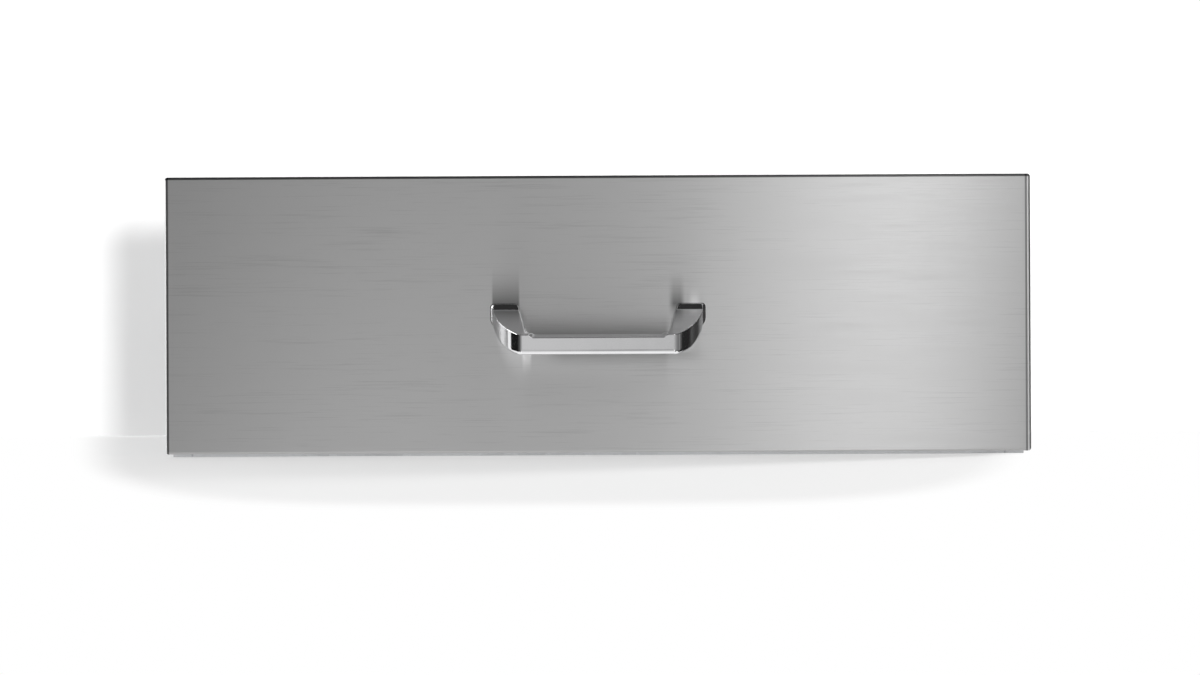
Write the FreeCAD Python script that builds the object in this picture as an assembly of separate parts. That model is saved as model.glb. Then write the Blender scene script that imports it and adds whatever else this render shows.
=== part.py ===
import FreeCAD, Part
import math
import os

# Built-in storage drawer unit, in millimetres. +Z is up, the front faces -Y, and X runs across.
# The origin is the middle of the casing's flat underside.

# Drawer front
front_width = 759.0
front_height = 243.0
front_depth = 20.0
front_sheet = 1.0
front_bend = 1.6
front_face_round = 2.0
front_lip = 12.0
front_rise = 3.0

# Casing
front_overlap = 19.5
casing_height = 240.0
casing_depth = 560.0
casing_sheet = 1.2
casing_bend = 1.0
flange_width = 16.0
back_flange = 14.0
base_flange = 12.0
top_flange = 15.0
back_sheet = 1.0
flange_hole_radius = 2.5
flange_hole_inset = 8.0
flange_hole_spacing = 180.0
bumper_radius = 6.0
bumper_thickness = 3.0
bumper_spacing = 214.0

# Drawer box
box_sheet = 1.0
box_depth = 500.0
box_height = 165.0
box_rise = 16.0
box_flange = 14.0
box_bend = 0.8
hem_radius = 2.4
floor_clearance = 0.3

# Pressed ribs in the flat sheets
rib_width = 18.0
rib_height = 2.0
floor_rib_height = 1.8
rib_end_gap = 60.0
casing_rib_shares = (-0.6, -0.2, 0.2, 0.6)
floor_rib_shares = (-0.5, 0, 0.5)

# Pull
handle_spacing = 160.0
handle_height = 103.7
handle_projection = 42.0
handle_outer_half = 93.6
handle_lean = 0.34
handle_corner = 14.0
handle_inner_half = 67.0
handle_inner_lean = 0.23
handle_inner_corner = 4.0
handle_bar_height = 19.2
handle_bar_depth = 9.5
handle_drop = 20.6
handle_relief = 4.3
handle_flare_height = 4.2
handle_flare_depth = 7.5
handle_flare_edge = 0.8
handle_flare_side = 1.0
handle_flare_corner = 3.5
handle_flare_step_count = 3
handle_grip_round = 2.0
handle_step_round = 1.5
handle_belly_round = 3.0
handle_screw_drop = 11.8

# Pull fixing
backing_sheet = 2.0
backing_height = 30.0
backing_margin = 25.0
handle_screw_radius = 2.1
handle_screw_head = 3.9
handle_screw_head_height = 3.0
handle_screw_depth = 13.0
thread_clearance = 0.1
hole_clearance = 0.4

# Stiffener behind the front skin
stiffener_length = 420.0
stiffener_crown = 46.0
stiffener_foot = 14.0
stiffener_sheet = 0.8
stiffener_lean = 1.6

# Telescopic slides
slide_width = 12.7
slide_height = 45.0
slide_sheet = 1.2
slide_set_back = 2.0
slide_centre_height = 75.0
ball_radius = 1.9
ball_clearance = 0.1
outer_ball_reach = 5.0
inner_ball_reach = 9.0
track_share = 0.705
web_gap = 0.8
lip_drop = 0.3
member_end_gap = 0.6
inner_member_reach = 6.6
cage_length = 230.0
cage_start = 132.0
cage_sheet = 0.5
cage_end_gap = 0.4
row_ball_count = 4
ball_side_count = 6
ball_levels = (-0.8, 0, 0.8)
ball_pocket_clearance = 0.15
inner_cage_gap = 0.9

# Slide fixings: three hooks and one screw on each fixed face
slide_screw_radius = 1.75
slide_screw_head = 3.8
slide_screw_head_height = 2.0
slide_screw_inset = 24.0
hook_insets = (70.0, 240.0, 410.0)
hook_length = 12.0
hook_height = 6.0
hook_lip = 3.0
hook_play = 0.4

# Release lever on each drawer member
lever_length = 56.0
lever_height = 7.0
lever_thickness = 2.0
lever_pin_radius = 1.5
lever_pin_clearance = 0.08
lever_set_back = 150.0
lever_gap = 0.5

# Small shanks and holes are drawn with this many flats
small_side_count = 12
bumper_side_count = 12

# Screws between the box and the front
front_screw_radius = 1.75
front_screw_head = 4.0
front_screw_head_height = 2.6
front_screw_length = 10.0
front_screw_span = 560.0
front_screw_rise = 84.0
front_screw_height = 24.0

# Places that follow from the sizes above
casing_width = front_width - 2 * front_overlap
slide_length = box_depth
casing_front_y = -casing_depth / 2
casing_back_y = casing_depth / 2
front_back_y = casing_front_y - bumper_thickness
front_face_y = front_back_y - front_depth
skin_back_y = front_face_y + front_sheet
liner_back_y = front_back_y - front_sheet
liner_front_y = liner_back_y - box_sheet
box_front_y = liner_back_y
box_back_y = box_front_y + box_depth
box_half = casing_width / 2 - casing_sheet - slide_width
slide_front_y = casing_front_y + slide_set_back
slide_wall_x = casing_width / 2 - casing_sheet
outer_ball_height = slide_height / 2 - slide_sheet - ball_radius - ball_clearance
track_radius = ball_radius + ball_clearance
middle_half_height = outer_ball_height - track_share * track_radius
inner_ball_height = middle_half_height - slide_sheet - track_share * track_radius
inner_half_height = inner_ball_height - track_share * track_radius
handle_zero = front_rise + handle_height
handle_screw_z = handle_zero + handle_drop - handle_screw_drop
casing_middle_z = casing_height / 2
TINY = 1e-6
EDGE_MATCH = 0.02
hexagon_side_count = 6


def vector(x, y, z):
    return FreeCAD.Vector(x, y, z)


def block(x0, x1, y0, y1, z0, z1):
    return Part.makeBox(x1 - x0, y1 - y0, z1 - z0, vector(x0, y0, z0))


def rod(centre, direction, radius, length):
    return Part.makeCylinder(radius, length, centre, direction)


def flat_sided_rod(centre, direction, radius, length, sides):
    """Level rod with flat sides whose corners lie a radius from its middle."""
    across = direction.cross(vector(0, 0, 1))
    corners = []
    for k in range(sides):
        angle = 2 * math.pi * k / sides
        corners.append(centre + across * (radius * math.cos(angle))
                       + vector(0, 0, radius * math.sin(angle)))
    return Part.Face(Part.makePolygon(corners + corners[:1])).extrude(direction * length)


def small_hole(centre, direction, radius, length):
    """Tool for a small hole, drawn with flats that lie a radius from its middle."""
    corner_radius = radius / math.cos(math.pi / small_side_count)
    return flat_sided_rod(centre, direction, corner_radius, length, small_side_count)


def mirrored(shape):
    return shape.mirror(vector(0, 0, 0), vector(1, 0, 0))


def save(name, shape):
    solid = shape if shape.ShapeType in ("Solid", "Compound") else Part.Compound(shape.Solids)
    if solid.ShapeType == "Compound" and len(solid.Solids) == 1:
        solid = solid.Solids[0]
    solid.exportStep(os.path.join("parts", name + ".step"))


def save_pair(name, shape):
    save(name + "_right", shape)
    save(name + "_left", mirrored(shape))


# Outlines with rounded corners

def unit(ax, ay):
    size = math.hypot(ax, ay)
    return ax / size, ay / size


def corner_arc(before, corner, after, radius):
    """Start, middle and end of the arc that rounds a corner of a flat path."""
    ux, uy = unit(before[0] - corner[0], before[1] - corner[1])
    wx, wy = unit(after[0] - corner[0], after[1] - corner[1])
    half = math.acos(max(-1.0, min(1.0, ux * wx + uy * wy))) / 2
    reach = radius / math.tan(half)
    bx, by = unit(ux + wx, uy + wy)
    centre_reach = radius / math.sin(half)
    start = (corner[0] + ux * reach, corner[1] + uy * reach)
    end = (corner[0] + wx * reach, corner[1] + wy * reach)
    inset = centre_reach - radius
    middle = (corner[0] + bx * inset, corner[1] + by * inset)
    return start, middle, end


def path_edges(points, radii, place, closed=False):
    """Lines and arcs along flat points, each inner corner rounded by its own radius."""
    count = len(points)
    pieces = []
    for index, point in enumerate(points):
        radius = radii[index]
        inner = closed or 0 < index < count - 1
        if inner and radius > 0:
            after = points[(index + 1) % count]
            pieces.append(corner_arc(points[index - 1], point, after, radius))
        else:
            pieces.append((point, None, point))
    edges = []
    for index, (start, middle, end) in enumerate(pieces):
        if middle is not None:
            edges.append(Part.Arc(place(*start), place(*middle), place(*end)).toShape())
        if index + 1 < count or closed:
            following = place(*pieces[(index + 1) % count][0])
            here = place(*end)
            if here.distanceToPoint(following) > TINY:
                edges.append(Part.makeLine(here, following))
    return edges


def outline(points, radii, place):
    wire = Part.Wire(Part.__sortEdges__(path_edges(points, radii, place, closed=True)))
    return Part.Face(wire)


def offset_points(points, distance):
    """The same path moved sideways to its left by a distance."""
    moved = []
    normals = []
    for start, end in zip(points, points[1:]):
        ux, uy = unit(end[0] - start[0], end[1] - start[1])
        normals.append((-uy, ux))
    for index, point in enumerate(points):
        if index == 0:
            nx, ny = normals[0]
            moved.append((point[0] + nx * distance, point[1] + ny * distance))
        elif index == len(points) - 1:
            nx, ny = normals[-1]
            moved.append((point[0] + nx * distance, point[1] + ny * distance))
        else:
            ax, ay = normals[index - 1]
            bx, by = normals[index]
            spread = 1 + ax * bx + ay * by
            moved.append((
                point[0] + (ax + bx) * distance / spread,
                point[1] + (ay + by) * distance / spread,
            ))
    return moved


def folded_section(points, sheet, bend, place):
    """Face of a folded sheet to the left of its path, with one inside bend radius, or 0 for square."""
    near = [0.0] * len(points)
    far = [0.0] * len(points)
    for index in range(1, len(points) - 1 if bend > 0 else 0):
        before, corner, after = points[index - 1], points[index], points[index + 1]
        turn = ((corner[0] - before[0]) * (after[1] - corner[1])
                - (corner[1] - before[1]) * (after[0] - corner[0]))
        near[index] = bend + sheet if turn > 0 else bend
        far[index] = bend if turn > 0 else bend + sheet
    moved = offset_points(points, sheet)
    edges = path_edges(points, near, place)
    edges += path_edges(moved, far, place)
    edges.append(Part.makeLine(place(*points[0]), place(*moved[0])))
    edges.append(Part.makeLine(place(*points[-1]), place(*moved[-1])))
    return Part.Face(Part.Wire(Part.__sortEdges__(edges)))


def along_x(points, sheet, bend, x0, x1):
    """Folded sheet whose (y, z) path is carried along X."""
    face = folded_section(points, sheet, bend, lambda y, z: vector(x0, y, z))
    return face.extrude(vector(x1 - x0, 0, 0))


def along_y(points, sheet, bend, y0, y1):
    """Folded sheet whose (x, z) path is carried along Y."""
    face = folded_section(points, sheet, bend, lambda x, z: vector(x, y0, z))
    return face.extrude(vector(0, y1 - y0, 0))


def along_z(points, sheet, bend, z0, z1):
    """Folded sheet whose (x, y) path is carried along Z."""
    face = folded_section(points, sheet, bend, lambda x, y: vector(x, y, z0))
    return face.extrude(vector(0, 0, z1 - z0))


def flat_faced(points, faces):
    """Solid from corner points and lists of their numbers, one list for each flat face."""
    sides = []
    for face in faces:
        corners = [points[number] for number in face]
        sides.append(Part.Face(Part.makePolygon(corners + corners[:1])))
    solid = Part.Solid(Part.Shell(sides))
    return solid if solid.Volume > 0 else solid.reversed()


def stacked_rings(rings):
    """Flat-faced solid whose level rings all have the same number of corners."""
    count = len(rings[0])
    points = [point for ring in rings for point in ring]
    faces = [list(range(count)), list(range(len(points) - count, len(points)))]
    for level in range(len(rings) - 1):
        base = level * count
        for k in range(count):
            after = (k + 1) % count
            faces.append([base + k, base + after, base + count + after, base + count + k])
    return flat_faced(points, faces)


def tapered_block(x, y, length, width, z0, z1, inset):
    """Block centred on x and y whose four sides lean inward by an inset."""
    rings = []
    for z, less in ((z0, 0), (z1, inset)):
        half = width / 2 - less
        reach = length / 2 - less
        rings.append([vector(x - half, y - reach, z), vector(x + half, y - reach, z),
                      vector(x + half, y + reach, z), vector(x - half, y + reach, z)])
    return stacked_rings(rings)


def press_rib(plate, x, y, z, length, sheet, rise):
    """Raises a long rib out of a level sheet whose lower face is at z."""
    direction = 1 if rise > 0 else -1
    low = z if rise > 0 else z + sheet
    height = abs(rise)
    inner = tapered_block(x, y, length, rib_width, low, low + rise, height)
    outer = tapered_block(x, y, length + 2 * sheet, rib_width + 2 * sheet, low,
                          low + rise + direction * sheet, height + sheet)
    return plate.fuse(outer).cut(inner)


# Drawer front

def front_skin():
    """Folded stainless pan: face, four returns and four lips turned in at the back."""
    half = front_width / 2
    low = front_rise
    high = front_rise + front_height
    outer_bend = front_bend + front_sheet
    pan = block(-half, half, front_face_y, front_back_y, low, high)
    upright = [edge for edge in pan.Edges if abs(edge.Length - front_depth) < TINY]
    pan = pan.makeFillet(outer_bend, upright)
    rims = [edge for edge in pan.Edges if edge.BoundBox.YMax < front_face_y + TINY]
    pan = pan.makeFillet(front_face_round, rims)
    inside = block(
        -half + front_sheet, half - front_sheet, skin_back_y, front_back_y - front_sheet,
        low + front_sheet, high - front_sheet)
    depth = front_depth - 2 * front_sheet
    upright = [edge for edge in inside.Edges if abs(edge.Length - depth) < TINY]
    inside = inside.makeFillet(front_bend, upright)
    reach = front_sheet + front_lip
    mouth = block(
        -half + reach, half - reach, front_back_y - 2 * front_sheet, front_back_y + front_sheet,
        low + reach, high - reach)
    pan = pan.cut(inside).cut(mouth)
    for side in (-1, 1):
        x = side * handle_spacing / 2
        hole = small_hole(vector(x, front_face_y - 1, handle_screw_z), vector(0, 1, 0),
                          handle_screw_radius + hole_clearance, front_sheet + 2)
        pan = pan.cut(hole)
    return pan


def front_liner():
    """Tray that closes the back of the pan, with a flange turned forward inside the returns."""
    half = front_width / 2 - front_sheet - front_bend
    low = front_rise + front_sheet + front_bend
    high = front_rise + front_height - front_sheet - front_bend
    flange = front_lip / 2
    rim_y = liner_front_y - flange
    tray = block(-half, half, rim_y, liner_back_y, low, high)
    hollow = block(-half + box_sheet, half - box_sheet, rim_y - 1, liner_front_y,
                   low + box_sheet, high - box_sheet)
    tray = tray.cut(hollow)
    for x, z in front_screw_places():
        tray = tray.cut(small_hole(vector(x, liner_front_y - 1, z), vector(0, 1, 0),
                                   front_screw_radius + thread_clearance, box_sheet + 2))
    return tray


def front_stiffener():
    """Hat-section channel glued behind the skin, its crown against the liner."""
    crown = stiffener_crown / 2
    foot = crown + stiffener_foot
    crown_y = liner_front_y - stiffener_sheet
    middle = handle_screw_z
    points = [
        (skin_back_y, middle - foot),
        (skin_back_y, middle - crown),
        (crown_y, middle - crown + stiffener_lean),
        (crown_y, middle + crown - stiffener_lean),
        (skin_back_y, middle + crown),
        (skin_back_y, middle + foot),
    ]
    half = stiffener_length / 2
    return along_x(list(reversed(points)), stiffener_sheet, 0, -half, half)


def handle_backing_plate():
    half = handle_spacing / 2 + backing_margin
    side = backing_height / 2
    plate = block(-half, half, skin_back_y, skin_back_y + backing_sheet,
                  handle_screw_z - side, handle_screw_z + side)
    for side in (-1, 1):
        x = side * handle_spacing / 2
        plate = plate.cut(small_hole(vector(x, skin_back_y - 1, handle_screw_z), vector(0, 1, 0),
                                     handle_screw_radius + hole_clearance, backing_sheet + 2))
    return plate


def screw(seat, direction, radius, head_radius, head_height, length):
    """Hexagon-headed screw: the head stands behind its seat and the shank points forward."""
    head = flat_sided_rod(seat - direction * head_height, direction, head_radius, head_height,
                          hexagon_side_count)
    return head.fuse(flat_sided_rod(seat, direction, radius, length, small_side_count))


def handle_screws():
    seat_y = skin_back_y + backing_sheet
    length = seat_y - front_face_y + handle_screw_depth - 1
    solids = []
    for side in (-1, 1):
        seat = vector(side * handle_spacing / 2, seat_y, handle_screw_z)
        solids.append(screw(seat, vector(0, -1, 0), handle_screw_radius,
                            handle_screw_head, handle_screw_head_height, length))
    return Part.Compound(solids)


# Pull: a plan outline and a side outline, each carried through the other

def pull_inner(depth):
    return handle_inner_half - handle_inner_lean * depth


def pull_outer(depth):
    return handle_outer_half - handle_lean * depth


def pull_top(depth):
    slope = handle_drop / handle_projection
    return handle_zero + handle_drop - slope * depth


def pull_place(x, depth, z):
    return vector(x, front_face_y - depth, z)


def pull_bar_back():
    return handle_projection - handle_bar_depth


def pull_plan():
    """U-shaped plan of the pull, from the front's face outward."""
    outer = [(pull_outer(0), 0), (pull_outer(handle_projection), handle_projection)]
    back = pull_bar_back()
    inner = [(pull_inner(back), back), (pull_inner(0), 0)]
    points = outer + [(-x, d) for x, d in reversed(outer)]
    points += [(-x, d) for x, d in reversed(inner)] + inner
    radii = [0, handle_corner, handle_corner, 0, 0, handle_inner_corner, handle_inner_corner, 0]
    floor = pull_top(handle_projection) - 2 * handle_bar_height
    face = outline(points, radii, lambda x, d: pull_place(x, d, floor))
    return face.extrude(vector(0, 0, handle_drop + 4 * handle_bar_height))


def pull_side():
    """Side outline: a sloping top, an upright nose and a belly parallel to the top."""
    depth = handle_projection
    points = [(0, pull_top(0) - handle_bar_height), (0, pull_top(0)), (depth, pull_top(depth)),
              (depth, pull_top(depth) - handle_bar_height)]
    half = handle_outer_half + handle_corner
    face = outline(points, [0] * 4, lambda d, z: pull_place(-half, d, z))
    return face.extrude(vector(2 * half, 0, 0))


def pull_relief():
    """Space above the bar's lowered top, between the legs."""
    beyond = handle_projection + handle_bar_depth
    low = pull_top(beyond) - handle_bar_height
    tall = handle_drop + 2 * handle_bar_height
    plan = [(-pull_inner(0), 0), (pull_inner(0), 0), (pull_inner(beyond), beyond),
            (-pull_inner(beyond), beyond)]
    wedge = outline(plan, [0] * 4, lambda x, d: pull_place(x, d, low)).extrude(
        vector(0, 0, tall))
    side = [(0, pull_top(0) - handle_relief), (beyond, pull_top(beyond) - handle_relief),
            (beyond, low + tall), (0, low + tall)]
    half = handle_inner_half + handle_corner
    prism = outline(side, [0] * 4, lambda d, z: pull_place(-half, d, z)).extrude(
        vector(2 * half, 0, 0))
    return wedge.common(prism)


def edge_spots(edge):
    """Places along an edge of the pull as x, depth and height."""
    first, last = edge.ParameterRange
    spots = []
    for step in range(5):
        spot = edge.valueAt(first + (last - first) * step / 4)
        spots.append((spot.x, front_face_y - spot.y, spot.z))
    return spots


def edges_at(body, drop, kind):
    """Edges of the pull on the plane a drop below its top, of the inner, outer or step kind."""
    found = []
    for edge in body.Edges:
        spots = edge_spots(edge)
        level = all(abs(z - pull_top(d) + drop) < EDGE_MATCH for x, d, z in spots)
        off_panel = any(d > EDGE_MATCH for x, d, z in spots)
        on_step = all(abs(abs(x) - pull_inner(d)) < EDGE_MATCH for x, d, z in spots)
        on_nose = all(d > handle_projection - EDGE_MATCH for x, d, z in spots)
        outside = all(abs(x) > pull_inner(d) + EDGE_MATCH for x, d, z in spots) or on_nose
        here = "step" if on_step and drop == handle_relief else "outer" if outside else "inner"
        if level and off_panel and here == kind:
            found.append(edge)
    return found


def pull_foot(side):
    """Flared foot against the front, a hollow cove that ends in the leg."""
    rings = []
    for step in range(-1, handle_flare_step_count + 1):
        angle = max(step, 0) * math.pi / 2 / handle_flare_step_count
        depth = 0 if step < 0 else (
            handle_flare_edge + (1 - math.cos(angle)) * (handle_flare_depth - handle_flare_edge))
        share = 1 - math.sin(angle)
        inset = 0 if step < handle_flare_step_count else handle_flare_edge / 10
        rise = handle_flare_height * share - inset
        spread = handle_flare_side * share - inset
        x0 = pull_inner(depth) - spread
        x1 = pull_outer(depth) + spread
        z1 = pull_top(depth) + rise
        z0 = pull_top(depth) - handle_bar_height + inset
        top_round = handle_flare_corner * share
        inner_round = handle_grip_round + top_round
        radii = [handle_grip_round, handle_belly_round, top_round, inner_round]
        corners = [(side * x, z) for x, z in ((x0, z0), (x1, z0), (x1, z1), (x0, z1))]
        face = outline(corners, radii, lambda x, z: pull_place(x, depth, z))
        rings.append(face.OuterWire)
    return Part.makeLoft(rings, True, True)


def handle():
    body = pull_plan().common(pull_side()).cut(pull_relief()).removeSplitter()
    body = body.makeFillet(handle_belly_round, edges_at(body, handle_bar_height, "outer"))
    body = body.makeFillet(handle_grip_round, edges_at(body, handle_bar_height, "inner"))
    body = body.makeFillet(handle_step_round, edges_at(body, handle_relief, "step"))
    body = body.makeFillet(handle_grip_round, edges_at(body, handle_relief, "inner"))
    body = body.makeFillet(handle_grip_round, edges_at(body, 0, "inner"))
    for side in (-1, 1):
        body = body.fuse(pull_foot(side))
        centre = pull_place(side * handle_spacing / 2, -1, handle_screw_z)
        body = body.cut(small_hole(centre, vector(0, -1, 0),
                                   handle_screw_radius + thread_clearance,
                                   handle_screw_depth + 1))
    return body.removeSplitter()


# Drawer box

def box_side():
    """Right side wall: rolled top edge and a flange under the floor."""
    x = box_half
    low = box_rise
    high = box_rise + box_height
    roll = 2 * hem_radius + 2 * box_sheet
    points = [
        (x - box_flange, low),
        (x, low),
        (x, high - hem_radius - box_sheet),
    ]
    wall = along_y(points, box_sheet, box_bend, box_front_y, box_back_y)
    centre = vector(x - roll / 2, box_front_y, high - hem_radius - box_sheet)
    tube = rod(centre, vector(0, 1, 0), roll / 2, box_depth)
    bore = rod(centre, vector(0, 1, 0), hem_radius, box_depth)
    below = block(x - roll - 1, x - box_sheet, box_front_y - 1, box_back_y + 1,
                  centre.z - roll, centre.z - box_sheet)
    tube = tube.cut(bore).cut(below)
    wall = wall.fuse(tube).removeSplitter()
    wall = wall.cut(slide_screw_hole(x + 1, hole_clearance / 2, box_sheet + 2))
    return wall.cut(hook_slots(x - box_sheet, x))


def box_cross_wall(front_y, direction):
    """Front or back wall of the box, between the sides, with ears against them."""
    half = box_half - box_sheet
    low = box_rise + box_sheet + box_bend
    high = box_rise + box_height - 2 * hem_radius - 2 * box_sheet
    y1 = front_y + direction * box_sheet
    web = block(-half, half, min(front_y, y1), max(front_y, y1), low, high)
    ear = front_y + direction * box_flange
    ear_low = low + 2 * box_sheet
    for side in (-1, 1):
        x0, x1 = sorted((side * half, side * (half - box_sheet)))
        web = web.fuse(block(x0, x1, min(front_y, ear), max(front_y, ear), ear_low, high))
    top = front_y + direction * (box_flange / 2)
    web = web.fuse(block(-half, half, min(front_y, top), max(front_y, top),
                         high - box_sheet, high))
    return web.removeSplitter()


def front_wall():
    wall = box_cross_wall(box_front_y, 1)
    for x, z in front_screw_places():
        wall = wall.cut(small_hole(vector(x, box_front_y - 1, z), vector(0, 1, 0),
                                   front_screw_radius + hole_clearance / 2, box_sheet + 2))
    return wall


def box_floor():
    half = box_half - box_sheet - box_bend - floor_clearance
    low = box_rise + box_sheet
    y0 = box_front_y + box_sheet + floor_clearance
    y1 = box_back_y - box_sheet - floor_clearance
    plate = block(-half, half, y0, y1, low, low + box_sheet)
    length = y1 - y0 - 2 * rib_end_gap
    for share in floor_rib_shares:
        plate = press_rib(plate, share * half, (y0 + y1) / 2, low, length, box_sheet,
                          -floor_rib_height)
    return plate.removeSplitter()


def front_screw_places():
    low = box_rise + front_screw_height
    return [(side * front_screw_span / 2, low + row * front_screw_rise)
            for side in (-1, 1) for row in (0, 1)]


def front_screws():
    seat_y = box_front_y + box_sheet
    return Part.Compound([
        screw(vector(x, seat_y, z), vector(0, -1, 0), front_screw_radius, front_screw_head,
              front_screw_head_height, front_screw_length)
        for x, z in front_screw_places()])


# Casing

def casing_side():
    """Right side of the casing: web, fixing flange in front and a narrow flange at the back."""
    x = casing_width / 2
    flange_back_y = casing_front_y + casing_sheet
    points = [
        (x + flange_width, flange_back_y),
        (x, flange_back_y),
        (x, casing_back_y),
        (x - back_flange, casing_back_y),
    ]
    panel = along_z(points, casing_sheet, casing_bend, 0, casing_height)
    for row in (-1, 1):
        z = casing_middle_z + row * flange_hole_spacing / 2
        hole = rod(vector(x + flange_hole_inset, casing_front_y - 2, z), vector(0, 1, 0),
                   flange_hole_radius, casing_sheet + 4)
        panel = panel.cut(hole)
    panel = panel.cut(slide_screw_hole(x + 1, hole_clearance / 2, casing_sheet + 2))
    return panel.cut(hook_slots(x - casing_sheet, x))


def casing_base():
    """Flat bottom with a flange turned up on all four sides."""
    half = casing_width / 2 - casing_sheet
    y0 = casing_front_y
    y1 = casing_back_y - casing_sheet - back_sheet
    tray = block(-half, half, y0, y1, 0, base_flange)
    hollow = block(-half + casing_sheet, half - casing_sheet, y0 + casing_sheet,
                   y1 - casing_sheet, casing_sheet, base_flange + 1)
    tray = tray.cut(hollow)
    length = y1 - y0 - 2 * rib_end_gap
    for share in casing_rib_shares:
        tray = press_rib(tray, share * half, (y0 + y1) / 2, 0, length, casing_sheet, rib_height)
    return tray.removeSplitter()


def casing_top():
    """Cover with a flange turned down on all four sides and long stiffening ribs."""
    half = casing_width / 2 - casing_sheet
    y0 = casing_front_y
    y1 = casing_back_y - casing_sheet - back_sheet
    low = casing_height - top_flange
    cover = block(-half, half, y0, y1, low, casing_height)
    hollow = block(-half + casing_sheet, half - casing_sheet, y0 + casing_sheet,
                   y1 - casing_sheet, low - 1, casing_height - casing_sheet)
    cover = cover.cut(hollow)
    length = y1 - y0 - 2 * rib_end_gap
    for share in casing_rib_shares:
        cover = press_rib(cover, share * half, (y0 + y1) / 2, casing_height - casing_sheet,
                          length, casing_sheet, -rib_height)
    return cover.removeSplitter()


def casing_back():
    half = casing_width / 2 - casing_sheet - casing_bend
    y1 = casing_back_y - casing_sheet
    return block(-half, half, y1 - back_sheet, y1, 0, casing_height)


def front_bumpers():
    x = casing_width / 2 + flange_width / 2
    solids = []
    for side in (-1, 1):
        for row in (-1, 1):
            centre = vector(side * x, front_back_y, casing_middle_z + row * bumper_spacing / 2)
            solids.append(flat_sided_rod(centre, vector(0, 1, 0), bumper_radius,
                                         bumper_thickness, bumper_side_count))
    return Part.Compound(solids)


# Telescopic slides, drawn for the right side: reach runs from the casing wall to the drawer

def slide_place(y):
    return lambda reach, height: vector(slide_wall_x - reach, y, slide_centre_height + height)


def member(points, bend):
    face = folded_section(points, slide_sheet, bend, slide_place(slide_front_y))
    return face.extrude(vector(0, slide_length, 0))


def slide_rod(reach, height, radius):
    centre = slide_place(slide_front_y)(reach, height)
    return rod(centre, vector(0, 1, 0), radius, slide_length)


def slide_block(r0, r1, h0, h1):
    return block(slide_wall_x - r1, slide_wall_x - r0, slide_front_y, slide_front_y + slide_length,
                 slide_centre_height + h0, slide_centre_height + h1)


def press_track(shape, reach, height, inward, flange_start, flange_end):
    """Presses a ball track into a flange; inward is -1 where the sheet lies below the ball."""
    outer = track_radius + slide_sheet
    edge = height + inward * track_share * track_radius
    far = height + inward * outer
    ring = slide_rod(reach, height, outer)
    keep = slide_block(max(reach - outer, flange_start), min(reach + outer, flange_end),
                       min(edge, far), max(edge, far))
    shape = shape.fuse(ring.common(keep))
    return shape.cut(slide_rod(reach, height, track_radius))


def slide_outer():
    """Cabinet member: a channel whose corners curl round the outer balls."""
    reach = outer_ball_reach + track_radius
    top = outer_ball_height + track_radius
    points = [
        (reach, outer_ball_height - lip_drop),
        (reach, top),
        (slide_sheet, top),
        (slide_sheet, -top),
        (reach, -top),
        (reach, -outer_ball_height + lip_drop),
    ]
    shape = member(list(reversed(points)), track_radius)
    shape = shape.cut(slide_screw_hole(slide_wall_x + 1, thread_clearance, slide_sheet + 2))
    return shape.fuse(hooks(slide_wall_x, casing_sheet, 1)).removeSplitter()


def slide_middle():
    """Intermediate member: a channel with a track above and below for each set of balls."""
    web = slide_sheet + web_gap
    end = slide_width - slide_sheet - member_end_gap
    points = [(end, middle_half_height), (web, middle_half_height),
              (web, -middle_half_height), (end, -middle_half_height)]
    shape = member(points, 0.3)
    for side in (-1, 1):
        shape = press_track(shape, outer_ball_reach, side * outer_ball_height, -side, web, end)
        shape = press_track(shape, inner_ball_reach, side * inner_ball_height, side, web, end)
    return shape.removeSplitter()


def slide_inner():
    """Drawer member: a channel that opens towards the casing."""
    points = [(inner_member_reach, inner_half_height), (slide_width, inner_half_height),
              (slide_width, -inner_half_height), (inner_member_reach, -inner_half_height)]
    shape = member(list(reversed(points)), 0.5)
    for side in (-1, 1):
        shape = press_track(shape, inner_ball_reach, side * inner_ball_height, -side,
                            inner_member_reach, slide_width)
    drawer_x = slide_wall_x - slide_width
    shape = shape.cut(slide_screw_hole(drawer_x + slide_sheet + 1, thread_clearance,
                                       slide_sheet + 2))
    shape = shape.fuse(hooks(slide_wall_x - slide_width, box_sheet, -1))
    pin_x = slide_wall_x - slide_width + slide_sheet
    pin = flat_sided_rod(vector(pin_x, lever_y(), slide_centre_height), vector(1, 0, 0),
                         lever_pin_radius, lever_thickness + 2 * lever_gap, small_side_count)
    return shape.fuse(pin).removeSplitter()


def lever_y():
    return slide_front_y + lever_set_back


def release_lever():
    """Flat finger lever on its pin inside the drawer member."""
    x0 = slide_wall_x - slide_width + slide_sheet + lever_gap
    half = lever_height / 2
    tail = lever_length * 0.8
    corners = [(-half, -half), (tail, -half * 0.6), (tail, half * 0.6), (-half, half)]
    face = outline(corners, [half * 0.9, half * 0.5, half * 0.5, half * 0.9],
                   lambda y, z: vector(x0, lever_y() - y, slide_centre_height + z))
    lever = face.extrude(vector(lever_thickness, 0, 0))
    hole = small_hole(vector(x0 - 1, lever_y(), slide_centre_height), vector(1, 0, 0),
                      lever_pin_radius + lever_pin_clearance, lever_thickness + 2)
    return lever.cut(hole)


def slide_screw_y():
    return slide_front_y + slide_screw_inset


def slide_screw_hole(outer_x, clearance, length):
    """Tool for a slide screw's hole, from an outer face towards the drawer."""
    centre = vector(outer_x, slide_screw_y(), slide_centre_height)
    return small_hole(centre, vector(-1, 0, 0), slide_screw_radius + clearance, length)


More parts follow.
